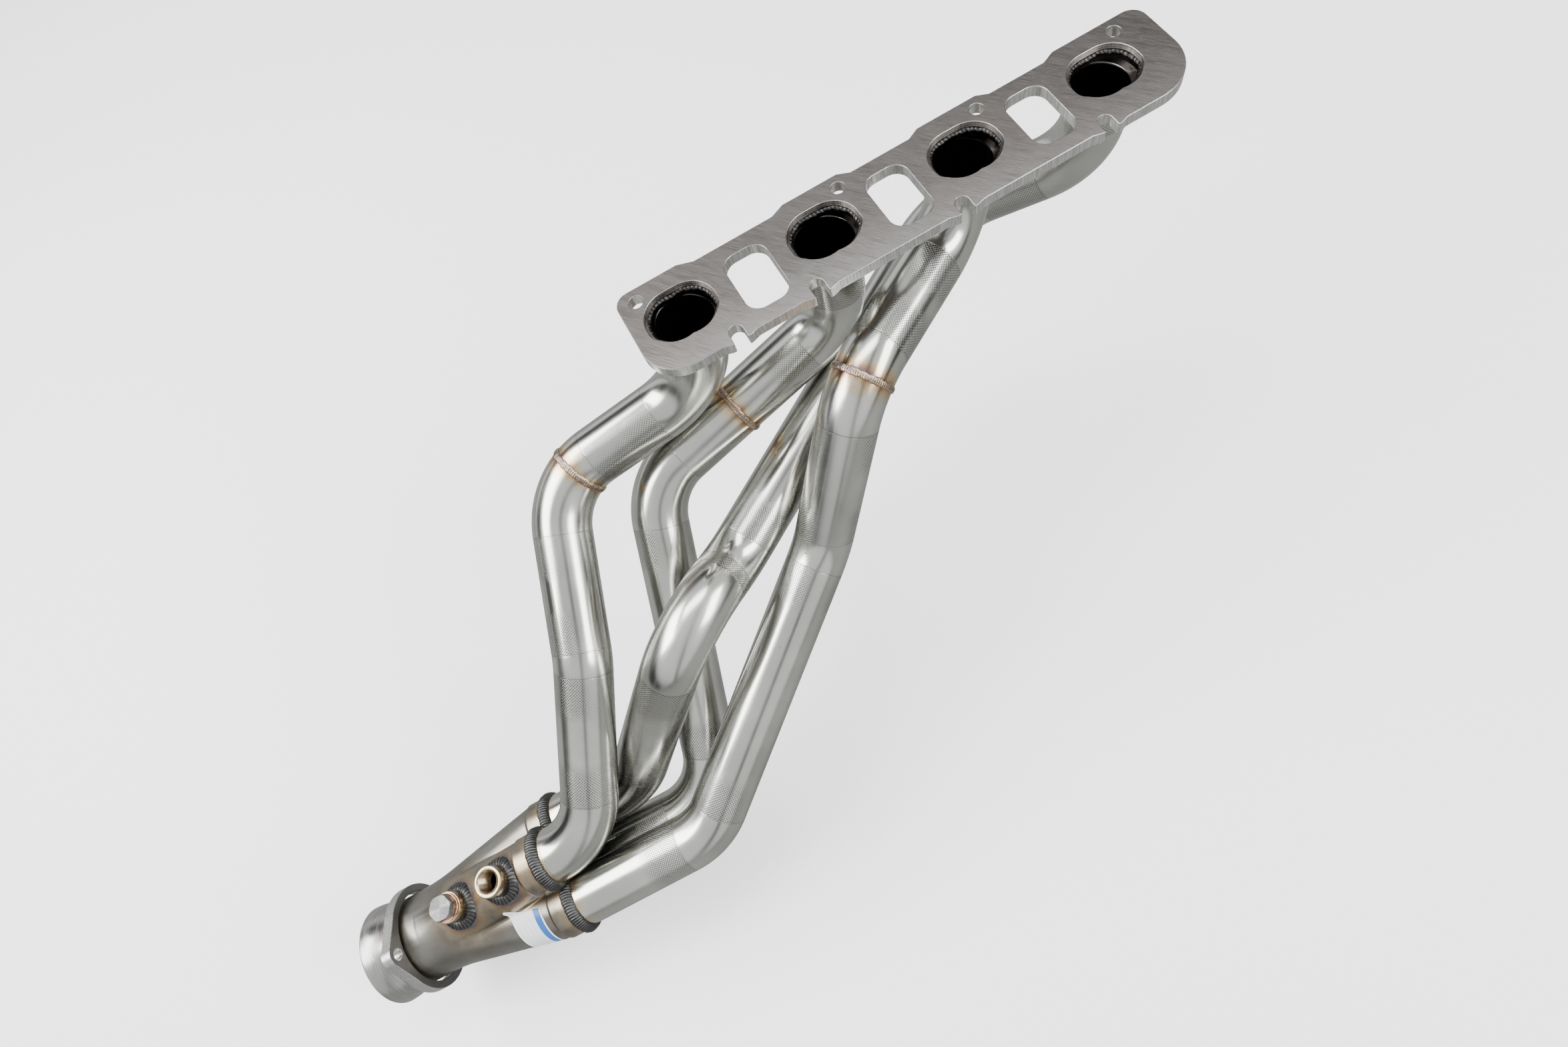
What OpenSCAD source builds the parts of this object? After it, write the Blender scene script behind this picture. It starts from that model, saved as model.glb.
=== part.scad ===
// Long-tube racing exhaust header for one bank of a four-port cylinder head.
// A laser-cut head flange carries four primary tubes, which run into a two by two merge
// collector with two sensor bungs, a ball outlet and a loose two-bolt outlet flange.
// Axes: the mating face is z = 0 and faces +Z, +X runs along the flange away from the
// collector, +Y runs towards the upper stud holes. The origin is on the third stud hole.

/* [Head flange] */
// Plate thickness
flange_thickness = 9.5; // [8:0.5:12]
// Distance from port to port
port_pitch = 113.3; // [112.5:0.1:114.5]
// Diameter of the stud holes and width of the open slots
stud_hole = 10.5; // [9:0.5:11.5]
// Height of the stud hole row above the flange centre line
stud_row = 31.3; // [30:0.1:32.5]
// Half height of the clearance windows
window_half_height = 25.6; // [20:0.2:26.6]
// Half width of the clearance windows
window_half_width = 16.3; // [12:0.1:18]

/* [Primary tubes] */
// Outer diameter of the primaries
tube_od = 47.6; // [44.4:0.1:47.8]
// Wall thickness of the primaries
tube_wall = 1.65; // [1.2:0.05:2.1]
// Height of a butt weld bead above the tube
bead_height = 1.9; // [1:0.1:2.5]

/* [Collector] */
// Distance between neighbouring inlets
inlet_spacing = 49.2; // [49:0.1:51]
// Length of the round inlet sleeves
sleeve_length = 17; // [14:1:20]
// Station along the collector axis where the taper ends
taper_end = 124; // [115:1:135]
// Outer diameter of the outlet neck
outlet_od = 76.2; // [74:0.1:76.2]
// Wall thickness of the collector
collector_wall = 1.75; // [1.5:0.05:2.2]
// Radius of the ball at the outlet
ball_radius = 43.5; // [42.5:0.5:46]

/* [Sensor bungs] */
// Outer diameter of a bung
bung_od = 25.4; // [24:0.2:28]
// Station of the open bung along the collector axis
open_bung_at = 36; // [33:1:40]
// Station of the plugged bung along the collector axis
plug_bung_at = 85; // [82:1:92]
// Width across flats of the plug
plug_flats = 19; // [17:1:22]

/* [Outlet flange] */
// Thickness of the loose flange
loose_thickness = 9.5; // [8:0.5:12]
// Distance between its two bolt holes
loose_bolt_spacing = 97; // [95:1:102]
// Diameter of its bolt holes
loose_bolt_hole = 10.5; // [9:0.5:12]

/* [Hidden] */
$fn = 96;

steel = [0.72, 0.72, 0.70];
bead = [0.42, 0.38, 0.34];

// Flange outline, measured from the centre of the middle window.
flange_left = -207.6;
flange_right = 222;
flange_bottom = -37.5;
flange_top = 37.8;
tab_top = 42.4;
lip = 2;
tube_r = tube_od / 2;
tube_in = tube_r - tube_wall;
port_y = 9.1;
port_x = [for (k = [-1.5, -0.5, 0.5, 1.5]) k * port_pitch];
stud_x = [-193.4, for (k = [0:2]) -31 + k * port_pitch];
slot_x = [-145.5, for (k = [0:2]) -82.7 + k * port_pitch];
window_x = [for (k = [-1:1]) k * port_pitch];
slot_half = stud_hole / 2;
stub_end = -15.8;

// Collector axis: inlet plane centre, directions of its frame.
collector_at = [-485.7, -213, -301];
collector_yaw = 175.9;
collector_tilt = 98.1;
collector_roll = -40.7;
half = inlet_spacing / 2;
slip = 12;
// Hair-thin step between the straight and bent stretches of a tube.
seam = 0.01;
sleeve_in = max(tube_r, 23.8) + 0.15;
sleeve_r = sleeve_in + collector_wall;
neck_r = outlet_od / 2;
lobe_end = 5.5;
lobe_r = neck_r - 7.9;
ball_at = 189;
ball_in = ball_radius - 1.8;
neck_end = ball_at - sqrt(pow(ball_radius, 2) - pow(neck_r, 2));
// Inlets in the collector frame, in tube order 1 to 4.
inlet = [[-half, -half], [half, half], [-half, half], [half, -half]];
bung_angle = 221;
open_mouth = 72;
plug_mouth = 60.5;
bung_r = bung_od / 2;
thread_r = 8.2;
washer_t = 1.4;
label_turn = 167;
loose_at = 149.5;
loose_turn = 206.3;

function unit(v) = v / norm(v);
function rot_y(v, a) = [v.x * cos(a) + v.z * sin(a), v.y, -v.x * sin(a) + v.z * cos(a)];
function rot_z(v, a) = [v.x * cos(a) - v.y * sin(a), v.x * sin(a) + v.y * cos(a), v.z];
// A point or direction of the collector frame, turned into the flange frame.
function turned(v) = rot_z(rot_y(rot_z(v, collector_roll), collector_tilt), collector_yaw);
function on_inlet(k, back) = collector_at + turned([inlet[k - 1].x, inlet[k - 1].y, -back]);

// Corner points of each tube's centre line and the bend radius at every inner corner.
path_1 = [[port_x[0], port_y, stub_end], [port_x[0], port_y, -89.4], [-321, 13, -120.6],
    [-372.4, -107.2, -177], on_inlet(1, 44.4), on_inlet(1, -slip)];
path_2 = [[port_x[1], port_y, stub_end], [port_x[1], port_y, -104], [-255, -8.7, -158.4],
    on_inlet(2, 136.8), on_inlet(2, -slip)];
path_3 = [[port_x[2], port_y, stub_end], [port_x[2], port_y, -68.2], [-85.5, -75, -64.4],
    [-160.6, -124.5, -180.7], on_inlet(3, 129.8), on_inlet(3, -slip)];
path_4 = [[port_x[3], port_y, stub_end], [port_x[3], port_y, -79], [77.2, 70, -137.5],
    [-226.9, -99.8, -172.2], [-284.7, -142.9, -137.6], on_inlet(4, 80.9), on_inlet(4, -slip)];
bends_1 = [63.5, 63.5, 63.5, 63.5];
bends_2 = [50.8, 63.5, 63.5];
bends_3 = [50.8, 63.5, 63.5, 63.5];
bends_4 = [63.5, 63.5, 63.5, 63.5, 63.5];
// Distance along each centre line of the butt weld between upper and lower tube.
weld_1 = 187;
weld_2 = 187;
weld_3 = 187;
weld_4 = 330;

function along(p, i) = unit(p[i + 1] - p[i]);
function turn(p, i) = acos(max(-1, min(1, along(p, i - 1) * along(p, i))));
function trim(p, r, i) = i == 0 || i == len(p) - 1 ? 0 : r[i - 1] * tan(turn(p, i) / 2);
function leg(p, r, i) = norm(p[i + 1] - p[i]) - trim(p, r, i) - trim(p, r, i + 1);
function arc(p, r, i) = r[i - 1] * turn(p, i) * PI / 180;
// Distance along the centre line to the start of leg i.
function leg_start(p, r, i) = i == 0 ? 0 : leg_start(p, r, i - 1) + leg(p, r, i - 1) + arc(p, r, i);
function total(p, r) = leg_start(p, r, len(p) - 2) + leg(p, r, len(p) - 2);

module placed() {
    translate([-stud_x[2], -stud_row, 0]) children();
}

module on_collector() {
    translate(collector_at) rotate([0, 0, collector_yaw]) rotate([0, collector_tilt, 0])
        rotate([0, 0, collector_roll]) children();
}

// Turns +Z onto direction d.
module aim(d) {
    rotate([0, 0, atan2(d.y, d.x)]) rotate([0, acos(d.z / norm(d)), 0]) children();
}

module pipe(r_out, r_in, length) {
    linear_extrude(length) difference() {
        circle(r_out);
        circle(r_in);
    }
}

// The stretch of a bent tube from distance u0 to distance u1 along its centre line.
module tube_run(p, r, u0, u1) {
    for (i = [0:len(p) - 2]) {
        s = leg_start(p, r, i);
        a = max(u0, s);
        b = min(u1, s + leg(p, r, i));
        if (b > a + 0.01)
            translate(p[i] + along(p, i) * (trim(p, r, i) + a - s + seam)) aim(along(p, i))
                pipe(tube_r, tube_in, b - a - 2 * seam);
    }
    for (i = [1:len(p) - 2]) {
        s = leg_start(p, r, i) - arc(p, r, i);
        a = max(u0, s);
        b = min(u1, s + arc(p, r, i));
        if (b > a + 0.01) {
            x = along(p, i - 1);
            w = unit(along(p, i) - x * (along(p, i) * x));
            n = cross(-w, x);
            c = p[i] - x * trim(p, r, i) + w * r[i - 1];
            k = 180 / PI / r[i - 1];
            multmatrix([[-w.x, x.x, n.x, c.x], [-w.y, x.y, n.y, c.y], [-w.z, x.z, n.z, c.z]])
                rotate([0, 0, (a - s) * k]) rotate_extrude(angle = (b - a) * k)
                    translate([r[i - 1], 0]) difference() {
                        circle(tube_r);
                        circle(tube_in);
                    }
        }
    }
}

// Puts children at distance u along a centre line, +Z pointing along the tube.
module at_distance(p, r, u) {
    for (i = [0:len(p) - 2]) {
        s = leg_start(p, r, i);
        if (u >= s && u < s + leg(p, r, i))
            translate(p[i] + along(p, i) * (trim(p, r, i) + u - s)) aim(along(p, i)) children();
    }
    for (i = [1:len(p) - 2]) {
        s = leg_start(p, r, i) - arc(p, r, i);
        if (u >= s && u < s + arc(p, r, i)) {
            x = along(p, i - 1);
            w = unit(along(p, i) - x * (along(p, i) * x));
            f = (u - s) / r[i - 1] * 180 / PI;
            translate(p[i] - x * trim(p, r, i) + w * r[i - 1] + (x * sin(f) - w * cos(f)) * r[i - 1])
                aim(x * cos(f) + w * sin(f)) children();
        }
    }
}

// Ring bead over a butt joint between two tubes.
module ring_bead(r, height) {
    rotate_extrude() difference() {
        translate([r - 1.1, 0]) circle(height + 1.1);
        translate([0, -10]) square([r + 0.2, 20]);
    }
}

// D-shaped port outline, made larger by g on every side.
module port_shape(g) {
    polygon([[-15.7, -18.4 - g], [15.7, -18.4 - g], [26.7 + g, -7.4], [26.7 + g, -3.1],
        [5.2, 18.4 + g], [-5.2, 18.4 + g], [-26.7 - g, -3.1], [-26.7 - g, -7.4]]);
    for (s = [-1, 1]) {
        translate([s * 15.7, -7.4]) circle(11 + g);
        translate([s * 5.2, -3.1]) circle(21.5 + g);
    }
}

module window_shape() {
    r = 11;
    square([2 * window_half_width, 2 * window_half_height - 2 * r], center = true);
    square([2 * window_half_width - 2 * r, 2 * window_half_height], center = true);
    for (x = [-1, 1], y = [-1, 1])
        translate([x * (window_half_width - r), y * (window_half_height - r)]) circle(r);
}

module plate_outline() {
    x0 = flange_left;
    x1 = flange_right;
    b = flange_bottom;
    polygon([[x0 + 28, b], [x1 - 36, b], [x1, b + 36], [x1, tab_top - 12], [x1 - 12, tab_top],
        [152, tab_top], [142, flange_top], [97, flange_top], [88, tab_top], [40, tab_top],
        [31, flange_top], [-17, flange_top], [-26, tab_top], [-70, tab_top], [-81, flange_top],
        [-144, flange_top], [-156, tab_top], [x0 + 11, tab_top], [x0, tab_top - 11], [x0, b + 28]]);
    translate([x0 + 28, b + 28]) circle(28);
    translate([x1 - 36, b + 36]) circle(36);
    translate([x1 - 12, tab_top - 12]) circle(12);
    translate([x0 + 11, tab_top - 11]) circle(11);
    for (x = slot_x)
        translate([x, b]) polygon([[-14, 0.1], [-7.6, -lip], [7.6, -lip], [14, 0.1]]);
}

module head_flange() {
    color([0.56, 0.54, 0.52]) placed() translate([0, 0, -flange_thickness])
        linear_extrude(flange_thickness) difference() {
            plate_outline();
            for (x = port_x) translate([x, port_y]) port_shape(0);
            for (x = window_x) translate([x, 0]) window_shape();
            for (x = stud_x) translate([x, stud_row]) circle(stud_hole / 2);
            for (x = slot_x) translate([x, -31.4]) {
                circle(slot_half);
                translate([-slot_half, -10]) square([2 * slot_half, 10]);
            }
        }
}

// Formed end of a primary: D-shaped in the port, round where the bend starts.
module port_stub(x) {
    back = -11.5;
    placed() translate([x, port_y, 0]) {
        translate([0, 0, back]) linear_extrude(-3 - back) difference() {
            port_shape(-0.1, $fn = 48);
            port_shape(-0.1 - tube_wall, $fn = 48);
        }
        difference() {
            hull() {
                translate([0, 0, back - 0.01]) linear_extrude(0.01) port_shape(-0.1, $fn = 48);
                translate([0, 0, stub_end]) linear_extrude(0.01) circle(tube_r);
            }
            hull() {
                translate([0, 0, back - 0.01]) linear_extrude(0.02)
                    port_shape(-0.1 - tube_wall, $fn = 48);
                translate([0, 0, stub_end - 0.01]) linear_extrude(0.02) circle(tube_in);
            }
        }
    }
}

// Bead inside the port, on the tube's end, and the bead behind the plate.
module port_weld(x) {
    placed() translate([x, port_y, 0]) {
        translate([0, 0, -2.95]) linear_extrude(1.6) difference() {
            port_shape(-0.05);
            port_shape(-2.8);
        }
        translate([0, 0, -flange_thickness - 2]) linear_extrude(1.95) difference() {
            port_shape(2.6);
            port_shape(-0.05);
        }
    }
}

module port_stub_1() { color(steel) port_stub(port_x[0]); }
module port_stub_2() { color(steel) port_stub(port_x[1]); }
module port_stub_3() { color(steel) port_stub(port_x[2]); }
module port_stub_4() { color(steel) port_stub(port_x[3]); }
module port_weld_1() { color(bead) port_weld(port_x[0]); }
module port_weld_2() { color(bead) port_weld(port_x[1]); }
module port_weld_3() { color(bead) port_weld(port_x[2]); }
module port_weld_4() { color(bead) port_weld(port_x[3]); }

module primary_1_upper() { color(steel) placed() tube_run(path_1, bends_1, 0, weld_1 - 0.1); }
module primary_2_upper() { color(steel) placed() tube_run(path_2, bends_2, 0, weld_2 - 0.1); }
module primary_3_upper() { color(steel) placed() tube_run(path_3, bends_3, 0, weld_3 - 0.1); }
module primary_4_upper() { color(steel) placed() tube_run(path_4, bends_4, 0, weld_4 - 0.1); }
module primary_1_lower() {
    color(steel) placed() tube_run(path_1, bends_1, weld_1 + 0.1, total(path_1, bends_1));
}
module primary_2_lower() {
    color(steel) placed() tube_run(path_2, bends_2, weld_2 + 0.1, total(path_2, bends_2));
}
module primary_3_lower() {
    color(steel) placed() tube_run(path_3, bends_3, weld_3 + 0.1, total(path_3, bends_3));
}
module primary_4_lower() {
    color(steel) placed() tube_run(path_4, bends_4, weld_4 + 0.1, total(path_4, bends_4));
}
module primary_weld_1() {
    color(bead) placed() at_distance(path_1, bends_1, weld_1) ring_bead(tube_r, bead_height);
}
module primary_weld_2() {
    color(bead) placed() at_distance(path_2, bends_2, weld_2) ring_bead(tube_r, bead_height);
}
module primary_weld_3() {
    color(bead) placed() at_distance(path_3, bends_3, weld_3) ring_bead(tube_r, bead_height);
}
module primary_weld_4() {
    color(bead) placed() at_distance(path_4, bends_4, weld_4) ring_bead(tube_r, bead_height);
}

// One lobe of the taper, from an inlet to the neck, made smaller by g all round.
module lobe(c, g) {
    from = [c.x, c.y, sleeve_length];
    to = [sign(c.x) * lobe_end, sign(c.y) * lobe_end, taper_end];
    d = to - from;
    first = sleeve_r - 1.1;
    grow = (lobe_r - first) / norm(d);
    difference() {
        translate(from - unit(d) * 10) aim(d)
            cylinder(r1 = first - g - 10 * grow, r2 = lobe_r - g, h = norm(d) + 10);
        translate([-100, -100, sleeve_length - 40]) cube([200, 200, 40]);
    }
}

// The collector as one solid, made smaller by g all round.
module collector_solid(g) {
    for (c = inlet) {
        translate([c.x, c.y, g > 0 ? -1 : 0])
            cylinder(r = sleeve_r - g, h = sleeve_length + (g > 0 ? 1.5 : 0.5));
        lobe(c, g);
    }
    translate([0, 0, 88]) cylinder(r = neck_r - g, h = neck_end - 88 + (g > 0 ? 1 : 0));
}

// Puts children on the bung line at a station, +Z pointing out of the collector.
module at_bung(station) {
    translate([0, 0, station]) rotate([0, 0, bung_angle]) rotate([0, 90, 0]) children();
}

module collector_body() {
    color([0.55, 0.51, 0.46]) placed() on_collector() difference() {
        collector_solid(0);
        collector_solid(collector_wall);
        for (s = [open_bung_at, plug_bung_at])
            at_bung(s) translate([0, 0, 30]) cylinder(r = bung_r + 0.05, h = 40);
    }
}

// Four-sided spike that fills the pocket between the four inlets.
module merge_spike() {
    across = (norm(inlet[0]) - sleeve_r - 0.3) / cos(45);
    color([0.5, 0.5, 0.5]) placed() on_collector() {
        translate([0, 0, 6]) cylinder(r = across, h = sleeve_length - 6, $fn = 4);
        translate([0, 0, sleeve_length]) cylinder(r1 = across, r2 = 0.6, h = 26, $fn = 4);
    }
}

module collector_weld(k) {
    c = inlet[k - 1];
    q = 0.06;
    color([0.3, 0.29, 0.28]) placed() on_collector() intersection() {
        translate([c.x, c.y, 0]) rotate_extrude() difference() {
            translate([tube_r + 0.3, -1]) circle(3.7);
            translate([0, -10]) square([tube_r + 0.05, 20]);
            translate([0, -0.05]) square([sleeve_r + 0.05, 20]);
        }
        translate([c.x < 0 ? -60 - q : q, c.y < 0 ? -60 - q : q, -20]) cube([60, 60, 40]);
    }
}
module collector_weld_1() { collector_weld(1); }
module collector_weld_2() { collector_weld(2); }
module collector_weld_3() { collector_weld(3); }
module collector_weld_4() { collector_weld(4); }

// Ball flare: a zone of a sphere from the neck out to its widest circle.
module outlet_ball() {
    color([0.62, 0.61, 0.6]) placed() on_collector() translate([0, 0, ball_at])
        rotate_extrude() intersection() {
            difference() {
                circle(ball_radius);
                circle(ball_in);
            }
            translate([0, neck_end - ball_at + 0.1]) square([60, ball_at - neck_end - 0.1]);
        }
}

module outlet_weld() {
    color(bead) placed() on_collector() translate([0, 0, neck_end - 1.4]) rotate_extrude()
        difference() {
            translate([neck_r - 0.6, 0]) circle(1.4);
            translate([0, -5]) square([neck_r + 0.05, 10]);
        }
}

module outlet_flange() {
    e = loose_bolt_spacing / 2;
    t = acos(37 / e);
    color([0.6, 0.6, 0.6]) placed() on_collector() translate([0, 0, loose_at])
        rotate([0, 0, loose_turn]) difference() {
            union() {
                cylinder(r = 47, h = loose_thickness);
                for (s = [-1, 1]) {
                    translate([s * e, 0, 0]) cylinder(r = 10, h = loose_thickness);
                    linear_extrude(loose_thickness)
                        polygon([for (q = [[0, 46.8, 1], [e, 9.8, 1], [e, 9.8, -1], [0, 46.8, -1]])
                            [s * (q[0] + q[1] * cos(t)), q[2] * q[1] * sin(t)]]);
                }
            }
            translate([0, 0, -1]) cylinder(r = neck_r + 1.9, h = loose_thickness + 2);
            for (s = [-1, 1])
                translate([s * e, 0, -1]) cylinder(r = loose_bolt_hole / 2, h = loose_thickness + 2);
        }
}

module bung(foot, mouth) {
    translate([0, 0, foot]) difference() {
        cylinder(r = bung_r, h = mouth - foot);
        translate([0, 0, -1]) cylinder(r = thread_r, h = mouth - foot + 2);
        translate([0, 0, mouth - foot - 1]) cylinder(r1 = thread_r, r2 = thread_r + 1.2, h = 1.2);
    }
}

// Fillet weld where a bung stands on the first lobe.
module bung_weld(skin) {
    difference() {
        translate([0, 0, skin - 9]) cylinder(r1 = bung_r + 5.6, r2 = bung_r + 1, h = 12);
        translate([0, 0, skin - 20]) cylinder(r = bung_r + 0.05, h = 40);
        rotate([0, -90, 0]) rotate([0, 0, -bung_angle]) children();
    }
}

module open_bung() {
    color([0.6, 0.54, 0.4]) placed() on_collector() at_bung(open_bung_at) bung(51, open_mouth);
}
module plugged_bung() {
    color([0.6, 0.54, 0.4]) placed() on_collector() at_bung(plug_bung_at) bung(40, plug_mouth);
}
module open_bung_weld() {
    color([0.3, 0.29, 0.28]) placed() on_collector() at_bung(open_bung_at)
        bung_weld(56.5) translate([0, 0, -open_bung_at]) lobe(inlet[0], -0.05);
}
module plugged_bung_weld() {
    color([0.3, 0.29, 0.28]) placed() on_collector() at_bung(plug_bung_at)
        bung_weld(46) translate([0, 0, -plug_bung_at]) lobe(inlet[0], -0.05);
}

module sealing_washer() {
    color([0.8, 0.5, 0.3]) placed() on_collector() at_bung(plug_bung_at)
        translate([0, 0, plug_mouth + 0.05]) pipe(11.5, thread_r + 0.3, washer_t);
}

module hex_plug() {
    seat = plug_mouth + washer_t + 0.1;
    color([0.8, 0.8, 0.8]) placed() on_collector() at_bung(plug_bung_at) {
        translate([0, 0, seat - 14]) cylinder(r = thread_r - 0.3, h = 14.5);
        translate([0, 0, seat]) cylinder(r = plug_flats / 2, h = 1);
        translate([0, 0, seat + 0.9]) intersection() {
            cylinder(r = plug_flats / 2 / cos(30), h = 7, $fn = 6);
            cylinder(r1 = plug_flats / 2 + 8.4, r2 = plug_flats / 2 + 0.4, h = 7.1);
        }
    }
}

// Blank label wrapped on the third inlet's lobe.
module label() {
    c = inlet[2];
    color([0.95, 0.95, 0.95]) placed() on_collector() intersection() {
        difference() {
            lobe(c, -0.35);
            for (near = inlet) lobe(near, -0.08);
        }
        translate([0.85 * c.x, 0.85 * c.y, 38]) rotate([0, 0, label_turn]) rotate([0, 90, 0])
            linear_extrude(60) {
                square([24, 46], center = true);
                square([28, 42], center = true);
                for (x = [-12, 12], y = [-21, 21]) translate([x, y]) circle(2);
            }
    }
}

head_flange();
port_stub_1();
port_stub_2();
port_stub_3();
port_stub_4();
port_weld_1();
port_weld_2();
port_weld_3();
port_weld_4();
primary_1_upper();
primary_2_upper();
primary_3_upper();
primary_4_upper();
primary_1_lower();
primary_2_lower();
primary_3_lower();
primary_4_lower();
primary_weld_1();
primary_weld_2();
primary_weld_3();
primary_weld_4();
collector_body();
merge_spike();
collector_weld_1();
collector_weld_2();
collector_weld_3();
collector_weld_4();
outlet_ball();
outlet_weld();
outlet_flange();
open_bung();
plugged_bung();
open_bung_weld();
plugged_bung_weld();
sealing_washer();
hex_plug();
label();
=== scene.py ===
import bmesh
import bpy
import math
import numpy as np
from mathutils import Matrix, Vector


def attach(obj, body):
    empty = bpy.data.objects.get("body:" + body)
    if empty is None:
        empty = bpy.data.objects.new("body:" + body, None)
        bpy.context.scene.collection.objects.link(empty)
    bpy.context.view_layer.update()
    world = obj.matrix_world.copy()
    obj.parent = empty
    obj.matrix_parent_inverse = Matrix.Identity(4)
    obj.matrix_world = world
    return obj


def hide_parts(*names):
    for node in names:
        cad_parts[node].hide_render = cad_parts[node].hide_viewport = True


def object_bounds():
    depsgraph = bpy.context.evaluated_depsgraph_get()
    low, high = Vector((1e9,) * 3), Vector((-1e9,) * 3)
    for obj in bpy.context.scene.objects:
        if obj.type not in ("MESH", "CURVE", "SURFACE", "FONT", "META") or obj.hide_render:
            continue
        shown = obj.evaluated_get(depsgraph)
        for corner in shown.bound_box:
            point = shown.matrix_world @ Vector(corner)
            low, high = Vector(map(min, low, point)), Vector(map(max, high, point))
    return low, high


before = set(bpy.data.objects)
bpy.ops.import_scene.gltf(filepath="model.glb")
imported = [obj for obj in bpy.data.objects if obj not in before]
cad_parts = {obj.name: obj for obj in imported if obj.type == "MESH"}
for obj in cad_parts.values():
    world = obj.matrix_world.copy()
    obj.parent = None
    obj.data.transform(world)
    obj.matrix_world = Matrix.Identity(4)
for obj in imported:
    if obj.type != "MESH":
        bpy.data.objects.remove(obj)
cad_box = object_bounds()

# ---------------------------------------------------------------- head flange
# One plate of 9.5 mm mild steel, cut by laser to the head gasket's outline. Both faces are
# belt ground on the diagonal, and the cut edges are knocked off by hand, so they shine.


def make(tree, kind, inputs=None, **settings):
    """A new shader node; inputs maps a socket's name or number to a value or to another socket."""
    made = tree.nodes.new(kind)
    for key, value in settings.items():
        setattr(made, key, value)
    for key, value in (inputs or {}).items():
        if isinstance(value, bpy.types.NodeSocket):
            tree.links.new(value, made.inputs[key])
        else:
            made.inputs[key].default_value = value
    return made


def calc(tree, how, a, b=0.0, c=0.0, clamp=False):
    """One sum: a and b combined by the named operation."""
    return make(tree, "ShaderNodeMath", {0: a, 1: b, 2: c}, operation=how, use_clamp=clamp).outputs[0]


def fade(tree, value, start, end, low=0.0, high=1.0):
    """Goes from low to high as value goes from start to end, smoothly, and stays there."""
    made = make(tree, "ShaderNodeMapRange", {"Value": value, "From Min": start, "From Max": end,
                "To Min": low, "To Max": high}, interpolation_type="SMOOTHSTEP")
    return made.outputs["Result"]


def blend(tree, amount, a, b, how="MIX"):
    """Colour a turned into colour b by amount."""
    made = make(tree, "ShaderNodeMix", {"Factor": amount}, data_type="RGBA", blend_type=how)
    for socket, value in zip((made.inputs[6], made.inputs[7]), (a, b)):
        if isinstance(value, bpy.types.NodeSocket):
            tree.links.new(value, socket)
        else:
            socket.default_value = (*value, 1)
    return made.outputs[2]


def cloud(tree, where, scale, detail=3.0, rough=0.55):
    """Soft random value between 0 and 1."""
    return make(tree, "ShaderNodeTexNoise", {"Vector": where, "Scale": scale, "Detail": detail,
                "Roughness": rough}).outputs[0]


def stretched(tree, where, scale, turn=(0, 0, 0)):
    """Coordinates turned, then scaled apart along each axis."""
    turned = make(tree, "ShaderNodeVectorRotate", {"Vector": where, "Rotation": turn},
                  rotation_type="EULER_XYZ").outputs[0]
    return make(tree, "ShaderNodeVectorMath", {0: turned, 1: scale}, operation="MULTIPLY").outputs[0]


def new_group(name, inputs, outputs):
    """An empty shader group with float, vector or colour sockets."""
    kinds = {"f": "NodeSocketFloat", "v": "NodeSocketVector", "c": "NodeSocketColor"}
    tree = bpy.data.node_groups.new(name, "ShaderNodeTree")
    for way, sockets in (("INPUT", inputs), ("OUTPUT", outputs)):
        for title, kind, value in sockets:
            made = tree.interface.new_socket(title, in_out=way, socket_type=kinds[kind])
            if value is not None:
                made.default_value = value
    return tree, tree.nodes.new("NodeGroupInput").outputs, tree.nodes.new("NodeGroupOutput").inputs


def use(tree, group, inputs):
    """A group placed in a material with its own values."""
    made = tree.nodes.new("ShaderNodeGroup")
    made.node_tree = group
    for key, value in inputs.items():
        if isinstance(value, bpy.types.NodeSocket):
            tree.links.new(value, made.inputs[key])
        else:
            made.inputs[key].default_value = value
    return made.outputs


def finish_metal(material, colour, rough, height, bump=0.0002, metallic=1.0, **fixed):
    """Ties colour, roughness and bump sockets into one Principled surface."""
    tree = material.node_tree
    bumped = make(tree, "ShaderNodeBump", {"Height": height, "Distance": bump, "Strength": 1.0})
    shader = make(tree, "ShaderNodeBsdfPrincipled", {"Base Color": colour, "Roughness": rough,
                  "Metallic": metallic, "Normal": bumped.outputs[0]})
    for key, value in fixed.items():
        shader.inputs[key.replace("_", " ")].default_value = value
    out = tree.nodes.new("ShaderNodeOutputMaterial")
    tree.links.new(shader.outputs[0], out.inputs[0])
    return material


def new_material(title):
    """An empty node material, with the tree and its object coordinates."""
    made = bpy.data.materials.new(title)
    made.use_nodes = True
    made.node_tree.nodes.clear()
    where = made.node_tree.nodes.new("ShaderNodeTexCoord").outputs["Object"]
    return made, made.node_tree, where


# Grinding lines: fine random streaks, long one way and short the other.
streaks, s_in, s_out = new_group(
    "grinding_streaks",
    [("Vector", "v", None), ("Fine", "f", 900.0), ("Stretch", "f", 30.0)],
    [("Line", "f", None), ("Band", "f", None)])
long_way = make(streaks, "ShaderNodeCombineXYZ", {0: 1.0, 1: calc(streaks, "DIVIDE", 1.0, s_in["Stretch"]),
                2: 1.0}).outputs[0]
drawn = make(streaks, "ShaderNodeVectorMath", {0: s_in["Vector"], 1: long_way},
             operation="MULTIPLY").outputs[0]
streaks.links.new(cloud(streaks, drawn, s_in["Fine"], 4.0, 0.7), s_out["Line"])
streaks.links.new(cloud(streaks, drawn, calc(streaks, "MULTIPLY", s_in["Fine"], 0.12), 2.0), s_out["Band"])

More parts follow.
